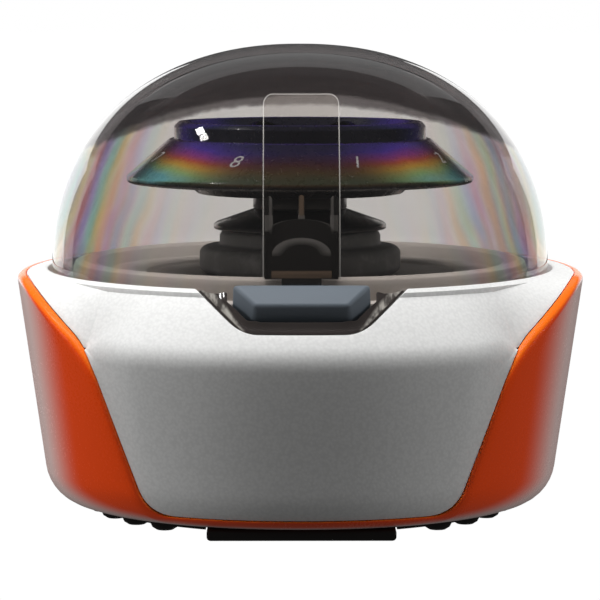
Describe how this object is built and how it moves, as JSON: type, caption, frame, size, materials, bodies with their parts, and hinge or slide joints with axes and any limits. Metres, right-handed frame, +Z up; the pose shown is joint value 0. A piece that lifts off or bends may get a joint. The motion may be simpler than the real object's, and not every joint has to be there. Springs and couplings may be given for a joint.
{
  "type": "mini centrifuge",
  "caption": "Mini centrifuge with a tapered two-colour body, hinged smoke-clear dome lid, release button and round angled rotor for micro tubes.",
  "frame": {"origin": "on the bench under the middle of the outline; the rotor's axis is 1.35 mm behind it", "axes": "+Z up along the rotor's axis, -Y towards the release button, +X to the right as seen from the front"},
  "size_m": [0.152, 0.1614, 0.1245],
  "materials": {
    "orange": "satin",
    "white": "fine moulded grain",
    "clear": "clear, smoke tint",
    "grey": "smooth",
    "black": "satin",
    "rotor": "polished",
    "rubber": "smooth",
    "button": "satin",
    "smoke": "polished",
    "steel": "plain",
    "board": "lacquered",
    "red": "satin"
  },
  "bodies": {
    "base": {"lower_shell": "orange", "body_cover": "white", "chamber_bowl": "grey", "foot_ring": "rubber", "front_foot_bar": "rubber", "motor_boot": "rubber", "boot_cap": "rubber", "motor_can": "steel", "motor_endcap": "black", "motor_plate": "steel", "motor_damper_1": "rubber", "motor_damper_2": "rubber", "motor_damper_3": "rubber", "motor_screw_1": "steel", "motor_screw_2": "steel", "motor_screw_3": "steel", "case_screw_1": "steel", "case_screw_2": "steel", "case_screw_3": "steel", "case_screw_4": "steel", "board_screw_1": "steel", "board_screw_2": "steel", "control_board": "board", "motor_lead_red": "red", "motor_lead_black": "black", "dc_jack": "black", "switch_housing": "black", "lid_sensor": "black", "hinge_ear_left": "white", "hinge_ear_right": "white", "hinge_pin": "steel", "button_bezel": "smoke", "latch_bracket": "black", "button_spring_left": "steel", "button_spring_right": "steel"},
    "lid": {"lid_dome": "clear", "latch_striker": "clear", "lid_magnet": "steel", "lid_hinge_arm": "white"},
    "rotor": {"rotor_disc": "rotor", "rotor_hub": "rotor", "rotor_knob": "rotor", "motor_shaft": "steel"},
    "button": {"release_button": "button"},
    "slider": {"latch_slider": "black"},
    "rocker": {"power_rocker": "black"}
  },
  "joints": [
    {"name": "lid_hinge", "type": "hinge", "parent": "base", "child": "lid", "pos_m": [0, 0.07685, 0.0682], "axis": [-1, 0, 0], "range_deg": [0, 80]},
    {"name": "rotor_spin", "type": "hinge", "parent": "base", "child": "rotor", "pos_m": [0, 0.00135, 0.064], "axis": [0, 0, 1], "continuous": true},
    {"name": "button_press", "type": "slide", "parent": "base", "child": "button", "axis": [0, 0, -1], "range_m": [0, 0.002], "stiffness_N_per_m": 500, "springref_m": -0.001, "deforming": ["button_spring_left", "button_spring_right"]},
    {"name": "latch_slide", "type": "slide", "parent": "base", "child": "slider", "axis": [0, -1, 0], "range_m": [0, 0.0015]},
    {"name": "power_switch", "type": "hinge", "parent": "base", "child": "rocker", "pos_m": [0.01756, 0.06783, 0.02424], "axis": [0.9649, -0.2625, 0], "range_deg": [-14, 0]}
  ],
  "couplings": [
    {"joint": "latch_slide", "follows": "button_press", "ratio": 0.75}
  ]
}
